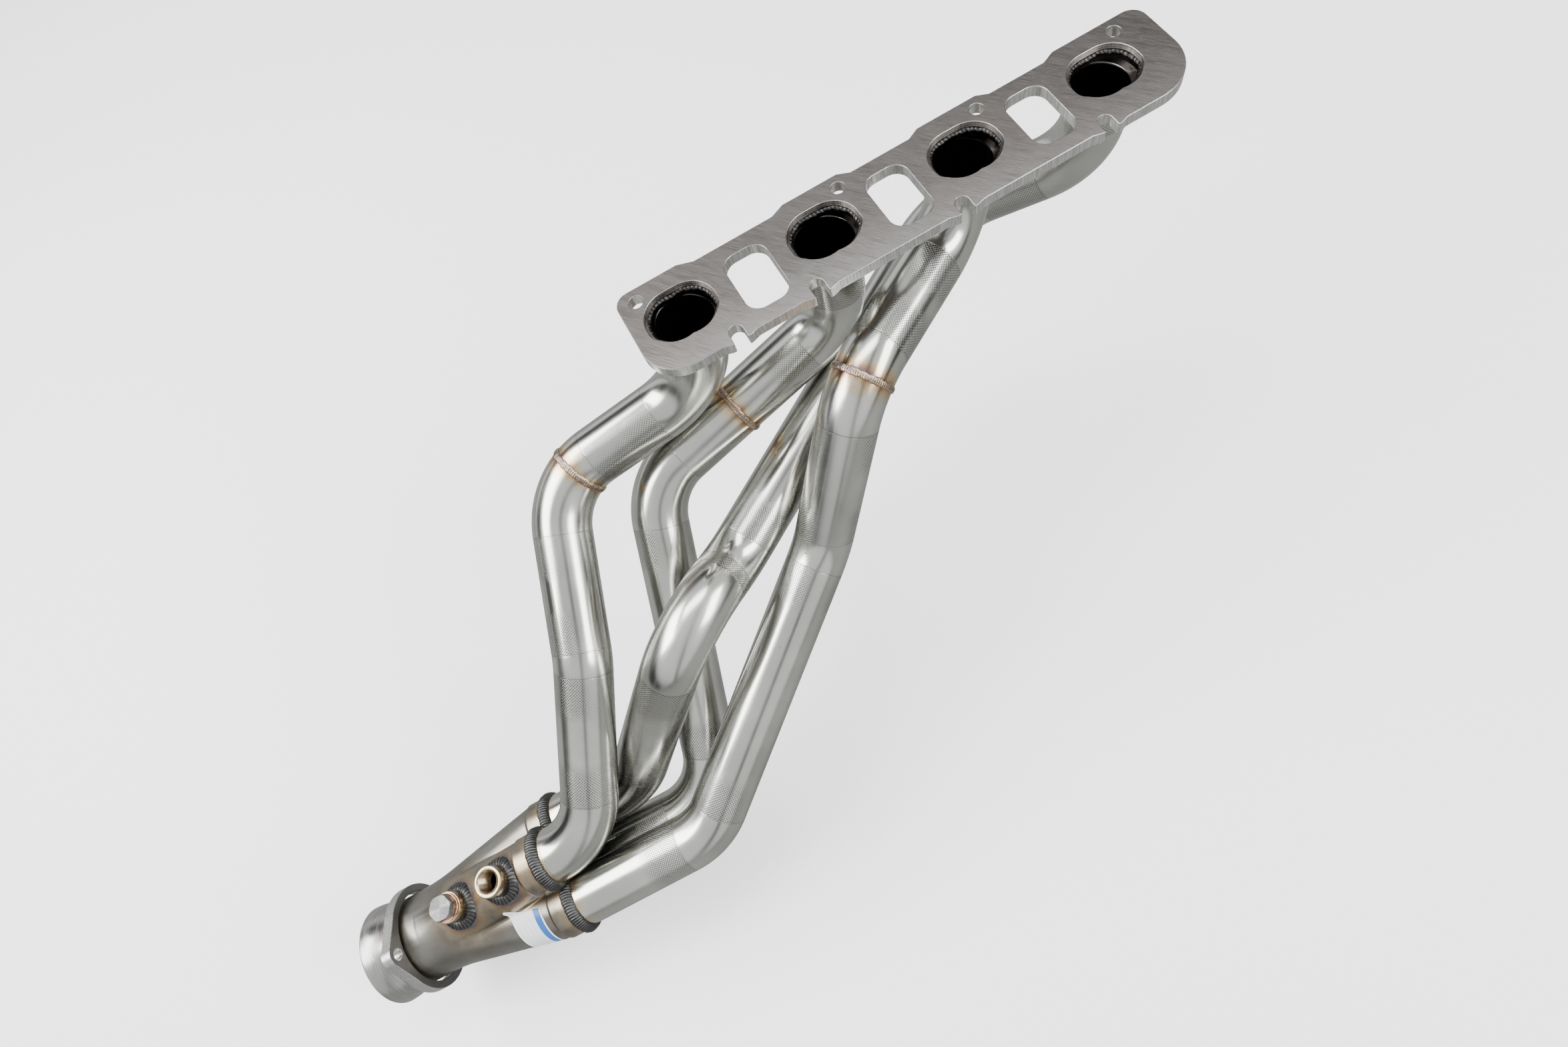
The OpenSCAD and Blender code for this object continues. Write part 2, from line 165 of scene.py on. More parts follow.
plate_steel, tree, where = new_material("ground_plate")
slanted = stretched(tree, where, (1, 1, 1), (0, 0, math.radians(-38)))
line = use(tree, streaks, {"Vector": slanted, "Fine": 2400.0, "Stretch": 40.0})
facing = make(tree, "ShaderNodeSeparateXYZ", {0: make(tree, "ShaderNodeNewGeometry").outputs["True Normal"]})
on_face = fade(tree, calc(tree, "ABSOLUTE", facing.outputs[2]), 0.6, 0.9)
cut = use(tree, streaks, {"Vector": stretched(tree, where, (1, 1, 1), (math.radians(90), 0, 0)),
          "Fine": 1300.0, "Stretch": 22.0})
patch = cloud(tree, where, 9.0, 3.0)
ground = blend(tree, fade(tree, line["Line"], 0.3, 0.7), (0.135, 0.125, 0.118), (0.275, 0.258, 0.245))
ground = blend(tree, fade(tree, patch, 0.35, 0.7, 0.0, 0.30), ground, (0.22, 0.190, 0.172))
# Painted highlight: both faces are painted lighter towards -Y, standing in for the light they catch on that
# side.
place_y = make(tree, "ShaderNodeSeparateXYZ", {0: where}).outputs[1]
painted_highlight = fade(tree, calc(tree, "ADD", place_y, calc(tree, "MULTIPLY", patch, 0.03)), -0.01, -0.085)
ground = blend(tree, painted_highlight, ground, blend(tree, fade(tree, line["Line"], 0.3, 0.7),
               (0.24, 0.225, 0.215), (0.46, 0.445, 0.43)))
edge_tone = blend(tree, fade(tree, cut["Line"], 0.35, 0.65), (0.46, 0.46, 0.45), (0.80, 0.80, 0.79))
colour = blend(tree, on_face, edge_tone, ground)
rough = calc(tree, "ADD", fade(tree, line["Band"], 0.3, 0.7, 0.27, 0.36),
             fade(tree, patch, 0.3, 0.8, 0.0, 0.06))
height = calc(tree, "ADD", calc(tree, "MULTIPLY", line["Line"], on_face),
              calc(tree, "MULTIPLY", cut["Line"], calc(tree, "SUBTRACT", 1.0, on_face)))
finish_metal(plate_steel, colour, rough, height, 0.00012)


def merged_copy(node_name, title, bevel, angle=32.0):
    """The CAD shape as one closed skin of flat faces, its sharp edges rounded by a small bevel."""
    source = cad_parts[node_name]
    piece = source.copy()
    piece.data = source.data.copy()
    piece.parent = None
    piece.name = title
    bpy.context.scene.collection.objects.link(piece)
    sheet = bmesh.new()
    for extra in [a.name for a in piece.data.attributes if "normal" in a.name]:
        piece.data.attributes.remove(piece.data.attributes[extra])
    sheet.from_mesh(piece.data)
    bmesh.ops.remove_doubles(sheet, verts=sheet.verts, dist=2e-6)
    bmesh.ops.dissolve_limit(sheet, angle_limit=math.radians(0.4), verts=sheet.verts, edges=sheet.edges)
    bmesh.ops.recalc_face_normals(sheet, faces=sheet.faces)
    for face in sheet.faces:
        face.smooth = True
    sheet.to_mesh(piece.data)
    sheet.free()
    piece.data.set_sharp_from_angle(angle=math.radians(angle))
    if bevel:
        rounded = piece.modifiers.new("edge", "BEVEL")
        rounded.width = bevel
        rounded.segments = 2
        rounded.limit_method = "ANGLE"
        rounded.angle_limit = math.radians(angle)
        rounded.harden_normals = True
        even_out = piece.modifiers.new("faces", "WEIGHTED_NORMAL")
        even_out.weight = 100
        even_out.keep_sharp = True
    piece.data.materials.clear()
    return piece


def stand_in(piece, body, slot, surface, *nodes):
    """The piece rides on its body, stands for its CAD nodes and takes its finish."""
    if not piece.data.materials:
        piece.data.materials.append(surface)
    if nodes:
        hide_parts(*nodes)
    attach(piece, body)
    return piece


flange = merged_copy("head_flange", "head_flange_plate", 0.0005)
stand_in(flange, "header", "flange_plate", plate_steel, "head_flange")

# ---------------------------------------------------------------- primary tubes
# Four primaries of 47.6 mm stainless tube with 1.65 mm walls, bent on a mandrel bender. Each
# is in two lengths, and the bender's clamp leaves bands of small dots and a line at each bend.
tube_r = 0.0238
tube_in = 0.02215
tight, wide_bend = 0.0508, 0.0635
slip = 0.012
port_pitch, port_y = 0.1133, 0.0091
origin = np.array([-0.0823, -0.0313, 0.0])


def turned(v, yaw=175.9, tilt=98.1, roll=-40.7):
    """A direction of the collector's own frame, turned into the row frame: roll, tilt, then yaw."""
    c, s = np.cos(np.radians([roll, tilt, yaw])), np.sin(np.radians([roll, tilt, yaw]))
    about_z = np.array([[c[0], -s[0], 0], [s[0], c[0], 0], [0, 0, 1]])
    about_y = np.array([[c[1], 0, s[1]], [0, 1, 0], [-s[1], 0, c[1]]])
    again = np.array([[c[2], -s[2], 0], [s[2], c[2], 0], [0, 0, 1]])
    return np.asarray(v, float) @ (again @ about_y @ about_z).T


merge_at = np.array([-0.4857, -0.213, -0.301]) + origin
half = 0.0246
inlets = np.array([[-half, -half], [half, half], [-half, half], [half, -half]])


def on_inlet(k, back):
    """A point on the axis of inlet k, this far back from the sleeve's mouth."""
    return merge_at + turned([inlets[k - 1][0], inlets[k - 1][1], -back])


def corners(x, first, *middle):
    """A primary's route: down from its port to the depth first, then through the middle points."""
    return [np.array([x, port_y, -0.0158]) + origin, np.array([x, port_y, first]) + origin] + [
        np.array(p) + origin for p in middle]


routes = {
    1: (corners(-1.5 * port_pitch, -0.0894, (-0.321, 0.013, -0.1206), (-0.3724, -0.1072, -0.177))
        + [on_inlet(1, 0.0444), on_inlet(1, -slip)], [wide_bend] * 4, 0.187),
    2: (corners(-0.5 * port_pitch, -0.104, (-0.255, -0.0087, -0.1584))
        + [on_inlet(2, 0.1368), on_inlet(2, -slip)], [tight, wide_bend, wide_bend], 0.187),
    3: (corners(0.5 * port_pitch, -0.0682, (-0.0855, -0.075, -0.0644), (-0.1606, -0.1245, -0.1807))
        + [on_inlet(3, 0.1298), on_inlet(3, -slip)], [tight] + [wide_bend] * 3, 0.187),
    4: (corners(1.5 * port_pitch, -0.079, (0.0772, 0.07, -0.1375), (-0.2269, -0.0998, -0.1722),
                (-0.2847, -0.1429, -0.1376))
        + [on_inlet(4, 0.0809), on_inlet(4, -slip)], [wide_bend] * 5, 0.330),
}


def centre_line(points, radii, step):
    """Straight legs joined by arcs of the bend radius, sampled every step: places, directions and
    distances along, and the distances at which a bend begins or ends."""
    places, ways, dists, marks, run = [], [], [], [], 0.0
    points = np.array(points)
    legs = np.diff(points, axis=0)
    length = np.linalg.norm(legs, axis=1)
    way = legs / length[:, None]
    angle = np.arccos(np.clip((way[1:] * way[:-1]).sum(1), -1, 1))
    trim = np.concatenate([[0], np.array(radii) * np.tan(angle / 2), [0]])
    for i in range(len(legs)):
        straight = length[i] - trim[i] - trim[i + 1]
        t = np.linspace(0, straight, max(2, int(straight / step) + 1))
        places.append(points[i] + way[i] * (trim[i] + t)[:, None])
        ways.append(np.repeat(way[i][None], len(t), 0))
        dists.append(run + t)
        run += straight
        if i < len(radii):
            r = radii[i]
            out = way[i + 1] - way[i] * (way[i + 1] @ way[i])
            out /= np.linalg.norm(out)
            a = np.linspace(0, angle[i], max(3, int(angle[i] * r / step) + 2))[1:-1, None]
            middle = points[i + 1] - way[i] * trim[i + 1] + out * r
            places.append(middle + r * (way[i] * np.sin(a) - out * np.cos(a)))
            ways.append(way[i] * np.cos(a) + out * np.sin(a))
            dists.append(run + r * a[:, 0])
            marks += [run, run + r * angle[i]]
            run += r * angle[i]
    return np.concatenate(places), np.concatenate(ways), np.concatenate(dists), np.array(marks)


def carried(ways, start):
    """Side directions carried along a line without twist, and the second ones square to them."""
    side = np.empty_like(ways)
    now = np.array(start, float)
    for i, w in enumerate(ways):
        now = now - w * (now @ w)
        now /= np.linalg.norm(now)
        side[i] = now
    return side, np.cross(ways, side)


def skin(title, grid, close_u=True, close_v=False, uv=None, values=None, flip=False):
    """A sheet of quads over a grid of points [v, u, 3]; u runs round and v along. Rows or columns
    join up where asked. uv is in metres and values are numbers for each point."""
    rows, cols = grid.shape[:2]
    v = np.arange(rows if close_v else rows - 1)
    u = np.arange(cols if close_u else cols - 1)
    v, u = np.meshgrid(v, u, indexing="ij")
    v2, u2 = (v + 1) % rows, (u + 1) % cols
    raw = np.stack([v * cols + u, v * cols + u2, v2 * cols + u2, v2 * cols + u], -1).reshape(-1, 4)
    quads = raw[:, ::-1] if flip else raw
    mesh = bpy.data.meshes.new(title)
    mesh.from_pydata(grid.reshape(-1, 3), [], quads.tolist())
    if uv is not None:
        cu = np.stack([u, u + 1, u + 1, u], -1).reshape(-1, 4) * uv[0]
        along = np.broadcast_to(np.asarray(uv[1], float)[:, None], (rows, cols)).reshape(-1)
        cv = along[raw]
        if flip:
            cu, cv = cu[:, ::-1], cv[:, ::-1]
        layer = mesh.uv_layers.new(name="UVMap")
        layer.data.foreach_set("uv", np.stack([cu.ravel(), cv.ravel()], -1).ravel())
    for key, numbers in (values or {}).items():
        mesh.attributes.new(key, "FLOAT", "POINT").data.foreach_set(
            "value", np.ascontiguousarray(np.broadcast_to(numbers, (rows, cols)), dtype=np.float32).ravel())
    mesh.shade_smooth()
    piece = bpy.data.objects.new(title, mesh)
    bpy.context.scene.collection.objects.link(piece)
    return piece


def around(count):
    """Angles evenly round a circle."""
    return np.linspace(0, 2 * np.pi, count, endpoint=False)


def tube(title, route, start, end, weld_dists, step=0.0025, turns=64):
    """A tube wall: the outer skin, then over the rim and back along the bore, as one closed sheet."""
    places, ways, dists, marks = centre_line(route[0], route[1], step)
    side, other = carried(ways, (0.3, 1.0, 0.2))
    keep = (dists >= start) & (dists <= end)
    ends = [np.array([np.interp(e, dists, arr[:, k]) for k in range(3)]) for e in (start, end)
            for arr in (places, ways, side, other)]
    pick = [np.concatenate([[ends[k]], arr[keep], [ends[k + 4]]]) for k, arr in
            enumerate((places, ways, side, other))]
    d = np.concatenate([[start], dists[keep], [end]])
    a = around(turns)[None, :, None]
    spoke = pick[2][:, None] * np.cos(a) + pick[3][:, None] * np.sin(a)
    outer = pick[0][:, None] + tube_r * spoke
    inner = pick[0][::-1, None] + tube_in * spoke[::-1]
    grid = np.concatenate([outer, inner])
    dd = np.concatenate([d, d[::-1]])
    near_bend = np.abs(dd[:, None] - marks[None]).min(1)
    near_weld = np.abs(dd[:, None] - np.array(weld_dists)[None]).min(1)
    in_bend = np.zeros(len(dd))
    for m in range(0, len(marks), 2):
        in_bend = np.maximum(in_bend, ((dd > marks[m]) & (dd < marks[m + 1])).astype(float))
    # Marks the bore's rows, which the material paints dark as painted shade inside the tube.
    inside = np.concatenate([np.zeros(len(d)), np.ones(len(d))])
    values = {"bend_mark": near_bend[:, None], "weld_gap": near_weld[:, None],
              "in_bend": in_bend[:, None], "bore": inside[:, None]}
    return skin(title, grid, True, True, (2 * np.pi * tube_r / turns, dd), values)


def attribute(tree, name):
    """The value that a mesh carries under this name."""
    return make(tree, "ShaderNodeAttribute", attribute_name=name).outputs["Fac"]


# Heat colours beside a weld: straw, brown, purple and blue in thin bands, then clear again.
heat, h_in, h_out = new_group("heat_bands", [("Distance", "f", 1.0), ("Reach", "f", 0.01),
                              ("Vector", "v", None)], [("Colour", "c", None), ("Amount", "f", None)])
wander = cloud(heat, h_in["Vector"], 90.0, 2.0)
ratio = calc(heat, "DIVIDE", h_in["Distance"], calc(heat, "MULTIPLY", h_in["Reach"],
             fade(heat, wander, 0.3, 0.7, 0.7, 1.35)))
bands = make(heat, "ShaderNodeValToRGB", {0: ratio})
stops = [(0.0, (0.18, 0.20, 0.28)), (0.10, (0.13, 0.18, 0.34)), (0.18, (0.30, 0.18, 0.20)),
         (0.27, (0.50, 0.31, 0.15)), (0.50, (0.62, 0.49, 0.30)), (1.0, (0.62, 0.58, 0.50))]
while len(bands.color_ramp.elements) < len(stops):
    bands.color_ramp.elements.new(0.5)
for element, (place, tone) in zip(bands.color_ramp.elements, stops):
    element.position = place
    element.color = (*tone, 1)
heat.links.new(bands.outputs[0], h_out["Colour"])
heat.links.new(fade(heat, ratio, 0.25, 1.4, 0.9, 0.0), h_out["Amount"])

tube_steel, tree, where = new_material("polished_tube")
flat = make(tree, "ShaderNodeUVMap", uv_map="UVMap").outputs[0]
line = use(tree, streaks, {"Vector": flat, "Fine": 1600.0, "Stretch": 60.0})
soft = cloud(tree, where, 14.0, 3.0)
spots = make(tree, "ShaderNodeTexVoronoi", {"Vector": where, "Scale": 75.0, "Randomness": 1.0})
pit = calc(tree, "MULTIPLY", fade(tree, spots.outputs["Distance"], 0.03, 0.09, 1.0, 0.0),
           fade(tree, cloud(tree, where, 11.0, 1.0), 0.56, 0.62))
at = make(tree, "ShaderNodeSeparateXYZ", {0: flat})
wave = [calc(tree, "SINE", calc(tree, "MULTIPLY", at.outputs[k], 2 * math.pi / 0.0024)) for k in (0, 1)]
dots = fade(tree, calc(tree, "MULTIPLY", wave[0], wave[1]), 0.05, 0.55)
bend_mark = attribute(tree, "bend_mark")
in_bend = attribute(tree, "in_bend")
clamped = calc(tree, "MULTIPLY", fade(tree, bend_mark, 0.024, 0.040, 1.0, 0.0),
               calc(tree, "SUBTRACT", 1.0, fade(tree, in_bend, 0.2, 0.8)))
band_side = fade(tree, cloud(tree, stretched(tree, flat, (1, 0.12, 1)), 22.0, 0.0), 0.34, 0.50)
dots = calc(tree, "MULTIPLY", dots, calc(tree, "MULTIPLY", clamped, band_side))
seam = fade(tree, calc(tree, "ABSOLUTE", calc(tree, "SUBTRACT", at.outputs[0], 0.052)),
            0.0004, 0.0009, 1.0, 0.0)
ring = fade(tree, bend_mark, 0.0002, 0.0006, 1.0, 0.0)
tint = use(tree, heat, {"Distance": attribute(tree, "weld_gap"), "Reach": 0.012, "Vector": where})
colour = blend(tree, fade(tree, soft, 0.35, 0.7), (0.52, 0.52, 0.485), (0.64, 0.64, 0.605))
colour = blend(tree, calc(tree, "MULTIPLY", dots, 0.95), colour, (0.09, 0.088, 0.085))
colour = blend(tree, calc(tree, "MULTIPLY", calc(tree, "MAXIMUM", ring, pit), 0.45), colour,
               (0.25, 0.235, 0.22))
colour = blend(tree, tint["Amount"], colour, tint["Colour"])
# Painted shade: the bore is painted dark for the shade inside the tube.
colour = blend(tree, attribute(tree, "bore"), colour, (0.14, 0.13, 0.125))
rough = calc(tree, "ADD", fade(tree, line["Band"], 0.3, 0.7, 0.13, 0.22),
             fade(tree, soft, 0.3, 0.8, 0.0, 0.10))
height = calc(tree, "ADD", calc(tree, "MULTIPLY", line["Line"], 0.10),
              calc(tree, "MULTIPLY", calc(tree, "ADD", calc(tree, "ADD", dots, pit),
                   calc(tree, "MULTIPLY", calc(tree, "ADD", ring, seam), 0.5)), -1.0))
finish_metal(tube_steel, colour, rough, height, 0.00008)

for k, route in routes.items():
    end = centre_line(route[0], route[1], 0.01)[2][-1]
    joint = route[2]
    marks = [0.0, joint, end - slip]
    upper = tube(f"primary_{k}_upper_tube", route, 0.0, joint - 0.0001, marks)
    stand_in(upper, "header", "stainless_tube", tube_steel, f"primary_{k}_upper")
    lower = tube(f"primary_{k}_lower_tube", route, joint + 0.0001, end, marks)
    stand_in(lower, "header", "stainless_tube", tube_steel, f"primary_{k}_lower")

# ---------------------------------------------------------------- butt welds of the primaries
# One TIG pass joins the two lengths of each primary: a low rippled bead, straw to blue, a
# little uneven where the welder stopped and started again.


def even(places, gap):
    """A closed line of points a fixed gap apart."""
    loop = np.concatenate([places, places[:1]])
    dist = np.concatenate([[0], np.cumsum(np.linalg.norm(np.diff(loop, axis=0), axis=1))])
    at = np.linspace(0, dist[-1], max(24, int(dist[-1] / gap)), endpoint=False)
    return at, dist, loop


def along_loop(arr, dist, at):
    """Values carried on a closed line, read at the distances asked for."""
    loop = np.concatenate([arr, arr[:1]])
    return np.stack([np.interp(at, dist, loop[:, k]) for k in range(3)], -1)


def unit(v):
    """The same direction with length one."""
    return v / np.linalg.norm(v, axis=-1, keepdims=True)


def bead(title, places, out, across, width, height, pitch=0.0017, lump=0.2, seed=1.0, keep=None, ripple=0.26):
    """A closed weld bead: at each point of its line an ellipse of half width and height, made
    higher and lower by crescents a ripple apart and by slow lumps that are sums of sines."""
    at, dist, _ = even(places, pitch / 6)
    p = along_loop(places, dist, at)
    o, w = unit(along_loop(out, dist, at)), unit(along_loop(across, dist, at))
    t = around(18)[None]
    total = dist[-1]
    phase = at[:, None] / total * round(total / pitch) - 0.42 * np.sin(t) ** 2
    crest = np.abs(np.sin(np.pi * phase))
    turn = 2 * np.pi * at[:, None] / total
    slow = (np.sin(5 * turn + seed) + np.sin(11 * turn + 2.3 * seed) + 0.7 * np.sin(23 * turn + 4 * seed)
            + 0.5 * np.sin(41 * turn + 1.7 * seed)) / 3.2
    rise = height * (0.80 + ripple * crest + lump * slow)
    wide = width / 2 * (1 + 0.5 * lump * np.sin(9 * turn + 3 * seed) * np.cos(17 * turn + seed))
    grid = (p[:, None] + w[:, None] * (wide * np.cos(t) + 0.10 * width * lump * slow)[..., None]
            + o[:, None] * (rise * np.sin(t))[..., None])
    if keep is not None:
        grid = keep(grid)
    return skin(title, grid, True, True, (0.001, at), {"crest": crest, "weld_gap": np.abs(np.cos(t)) * 0.003})


def weld_metal(title, deep, high, tint_amount, rough_low, rough_high):
    """Weld surface: painted shade in the troughs and a painted highlight on the crests, with scale and heat
    colour.
    """
    made, tree, where = new_material(title)
    crest = attribute(tree, "crest")
    grit = cloud(tree, where, 1400.0, 4.0, 0.7)
    scale = cloud(tree, where, 160.0, 3.0)
    # Painted shade and highlight: the ripples' troughs take the deep colour and their crests the high one.
    tone = blend(tree, fade(tree, crest, 0.2, 0.9), deep, high)
    tint = use(tree, heat, {"Distance": attribute(tree, "weld_gap"), "Reach": 0.004, "Vector": where})
    tone = blend(tree, calc(tree, "MULTIPLY", tint["Amount"], tint_amount), tone, tint["Colour"])
    tone = blend(tree, fade(tree, scale, 0.50, 0.66, 0.0, 0.45), tone, deep)
    return finish_metal(made, tone, fade(tree, grit, 0.3, 0.7, rough_low, rough_high),
                        calc(tree, "ADD", grit, scale), 0.0002)


bright_weld = weld_metal("bright_weld", (0.12, 0.10, 0.08), (0.56, 0.43, 0.24), 0.70, 0.16, 0.32)
for k, route in routes.items():
    places, ways, dists, marks = centre_line(route[0], route[1], 0.0025)
    side, other = carried(ways, (0.3, 1.0, 0.2))
    i = int(np.argmin(np.abs(dists - route[2])))
    a = around(720)[:, None]
    spoke = side[i] * np.cos(a) + other[i] * np.sin(a)
    ring = bead(f"primary_{k}_bead", places[i] + (tube_r - 0.0001) * spoke, spoke,
                np.repeat(ways[i][None], 720, 0), 0.0058, 0.0012, 0.0018, 0.30, 1.0 + k)
    stand_in(ring, "header", "weld_bead", bright_weld, f"primary_weld_{k}")

# ---------------------------------------------------------------- ports
# Behind each port the tube's mouth is pressed into the port's D shape and welded inside the
# plate, with a rough fillet that is left as it is, and once more behind the plate.
port_circles = np.array([[-0.0157, -0.0074, 0.011], [0.0157, -0.0074, 0.011],
                         [-0.0052, -0.0031, 0.0215], [0.0052, -0.0031, 0.0215]])


def port_line(grow, count=360):
    """The tight band round four circles: for each direction the furthest circle's own point."""
    a = around(count)
    n = np.stack([np.cos(a), np.sin(a)], -1)
    reach = port_circles[:, :2] @ n.T + port_circles[:, 2:]
    far = reach.argmax(0)
    return port_circles[far, :2] + (port_circles[far, 2] + grow)[:, None] * n, n


# Painted shade: the port stubs inside the ports and the merge spike inside the collector are painted near
# black for the shade there.
shaded_bore_steel, tree, where = new_material("bore_painted_shade")
soft = cloud(tree, where, 60.0, 4.0)
colour = blend(tree, fade(tree, soft, 0.3, 0.7), (0.060, 0.052, 0.046), (0.17, 0.15, 0.135))
finish_metal(shaded_bore_steel, colour, fade(tree, soft, 0.3, 0.7, 0.18, 0.38), soft, 0.0002)
grey_weld = weld_metal("grey_weld", (0.022, 0.021, 0.021), (0.075, 0.073, 0.072), 0.0, 0.26, 0.46)
for k in range(1, 5):
    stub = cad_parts[f"port_stub_{k}"]
    stub.data.materials.clear()
    stub.data.materials.append(shaded_bore_steel)
    x = (k - 2.5) * port_pitch
    at = np.array([x, port_y, 0.0]) + origin
    line, n = port_line(-0.0016)
    n3 = np.c_[n, np.zeros(len(n))]
    up = np.repeat([[0.0, 0.0, 1.0]], len(n), 0)
    inside = bead(f"port_{k}_inner_bead", at + np.c_[line, np.full(len(n), -0.0052)],
                  up - 0.7 * n3, n3 + 0.7 * up, 0.0040, 0.0013, 0.0030, 0.45, 2.0 * k)
    stand_in(inside, "header", "weld_bead", grey_weld, f"port_weld_{k}")
    line, n = port_line(0.0010)
    back = bead(f"port_{k}_back_bead", at + np.c_[line, np.full(len(n), -0.0098)], n3 - up, n3 + up,
                0.0046, 0.0019, 0.0022, 0.25, 0.7 * k)
    stand_in(back, "header", "weld_bead", bright_weld)

# ---------------------------------------------------------------- merge collector
# Four short sleeves run into four tapering lobes, which blend into one 76 mm neck. The body is
# formed from stainless sheet, seam welded, brushed, and browned by the heat of the welding.
sleeve_r, sleeve_end, neck_r, neck_end, wall = 0.0257, 0.017, 0.0381, 0.16801, 0.00175
lobe_end, lobe_s, lobe_first, lobe_last = 0.0055, 0.124, 0.0246, 0.0302


def blend_min(a, b, k):
    """The lesser of two distances, with the corner between them rounded over a width of k."""
    h = np.clip(0.5 + 0.5 * (b - a) / k, 0, 1)
    return b * (1 - h) + a * h - k * h * (1 - h)


def merge_distance(x, y, s, less=0.0):
    """How far a point is outside the collector: the least distance to a sleeve or a lobe's cone,
    or to the neck's cylinder, each smaller by less."""
    best = None
    for c in inlets:
        end = np.array([np.sign(c[0]) * lobe_end, np.sign(c[1]) * lobe_end, lobe_s])
        begin = np.array([c[0], c[1], sleeve_end])
        way = unit(end - begin)
        long = np.linalg.norm(end - begin)
        q = np.stack([x - begin[0], y - begin[1], s - begin[2]], -1)
        t = q @ way
        off = np.linalg.norm(q - t[..., None] * way, axis=-1)
        cone = off - (lobe_first + (lobe_last - lobe_first) * t / long) + less
        cone = np.maximum(cone, (t - long) * 0.7)
        sleeve = np.hypot(x - c[0], y - c[1]) - sleeve_r + less
        d = np.where(s < sleeve_end, sleeve, cone)
        best = d if best is None else blend_min(best, d, 0.0022)
    neck = np.maximum(np.hypot(x, y) - neck_r + less, 0.088 - s)
    return blend_min(best, neck, 0.003)


def on_surface(distance, low, high, steps=34):
    """Halves the gap between an inside and an outside value until the surface lies between."""
    low, high = np.array(low, float), np.array(high, float)
    for _ in range(steps):
        middle = (low + high) / 2
        inside = distance(middle) < 0
        low, high = np.where(inside, middle, low), np.where(inside, high, middle)
    return (low + high) / 2


def row_point(x, y, s):
    """A point of the collector's frame, put into the row frame."""
    return merge_at + turned(np.stack(np.broadcast_arrays(x, y, s), -1))


bung_angle = math.radians(221)
bungs = {"open": (0.036, 0.051, 0.072), "plugged": (0.085, 0.040, 0.0605)}
spoke_out = np.array([math.cos(bung_angle), math.sin(bung_angle)])
spoke_side = np.array([-spoke_out[1], spoke_out[0]])

stations = np.linspace(0, neck_end, 150)
a = around(400)


def collector_sheet(less):
    """Out from the axis at every angle and station until the surface is met."""
    s, ang = stations[:, None], a[None]
    c = np.clip(half + (lobe_end - half) * (s - sleeve_end) / (lobe_s - sleeve_end), 0.0005, half)
    low = c / np.maximum(np.abs(np.cos(ang)), np.abs(np.sin(ang)))
    r = on_surface(lambda q: merge_distance(q * np.cos(ang), q * np.sin(ang), s + 0 * q, less),
                   low, np.full_like(low, 0.09))
    return r * np.cos(ang), r * np.sin(ang), s + 0 * r


ox, oy, os_ = collector_sheet(0.0)
ix, iy, is_ = collector_sheet(wall)
gx, gy, gs = [np.concatenate([o, i[::-1]]) for o, i in ((ox, ix), (oy, iy), (os_, is_))]
grid = row_point(gx, gy, gs)
gap = np.minimum(np.abs(gs), np.abs(gs - neck_end))
hole_shade = np.zeros_like(gs)
for station, foot, mouth in bungs.values():
    sideways = gx * spoke_side[0] + gy * spoke_side[1]
    off = np.hypot(sideways, gs - station)
    off = np.where(gx * spoke_out[0] + gy * spoke_out[1] > 0, off, 1.0)
    gap = np.minimum(gap, np.maximum(off - 0.018, 0))
    # Painted shade: the sheet under each bung's hole is not cut but marked to take the bore's dark colour, as
    # the shade seen down the hole.
    hole_shade = np.maximum(hole_shade, (off < 0.0095).astype(float))
bore = np.concatenate([np.zeros_like(os_), np.ones_like(is_)])
body = skin("collector_shell", grid, True, True, (0.00065, np.concatenate([stations, stations[::-1]])),
            {"weld_gap": gap, "bore": np.maximum(bore, hole_shade)})

merge_steel, tree, where = new_material("browned_collector")
flat = make(tree, "ShaderNodeUVMap", uv_map="UVMap").outputs[0]
line = use(tree, streaks, {"Vector": flat, "Fine": 1500.0, "Stretch": 35.0})
soft = cloud(tree, where, 16.0, 4.0)
smear = cloud(tree, stretched(tree, flat, (1, 0.35, 1)), 60.0, 4.0, 0.6)
tint = use(tree, heat, {"Distance": attribute(tree, "weld_gap"), "Reach": 0.011, "Vector": where})
halo = fade(tree, attribute(tree, "weld_gap"), 0.004, 0.030, 1.0, 0.0)
colour = blend(tree, fade(tree, soft, 0.35, 0.7), (0.20, 0.192, 0.172), (0.30, 0.292, 0.266))
colour = blend(tree, calc(tree, "MULTIPLY", halo, 0.70), colour, (0.21, 0.155, 0.10))
colour = blend(tree, calc(tree, "MULTIPLY", tint["Amount"], 0.40), colour, tint["Colour"])
colour = blend(tree, fade(tree, smear, 0.55, 0.75, 0.0, 0.30), colour, (0.17, 0.15, 0.125))
# Painted shade: the inner wall and the patches under the bung holes are painted near black.
colour = blend(tree, attribute(tree, "bore"), colour, (0.035, 0.033, 0.032))
rough = calc(tree, "ADD", fade(tree, line["Band"], 0.3, 0.7, 0.27, 0.36),
             fade(tree, smear, 0.4, 0.8, 0.0, 0.10))
height = calc(tree, "ADD", calc(tree, "MULTIPLY", line["Line"], 0.5), calc(tree, "MULTIPLY", smear, 0.4))
finish_metal(merge_steel, colour, rough, height, 0.00006)
stand_in(body, "header", "collector_steel", merge_steel, "collector_body")
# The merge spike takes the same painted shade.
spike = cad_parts["merge_spike"]
spike.data.materials.clear()
spike.data.materials.append(shaded_bore_steel)

# ---------------------------------------------------------------- welds at the inlets
# Each tube slips into its sleeve and is closed by one wide dark fillet, laid in short stitches
# and left with its scale on.
dark_weld = weld_metal("dark_weld", (0.045, 0.045, 0.045), (0.115, 0.115, 0.113), 0.0, 0.28, 0.44)


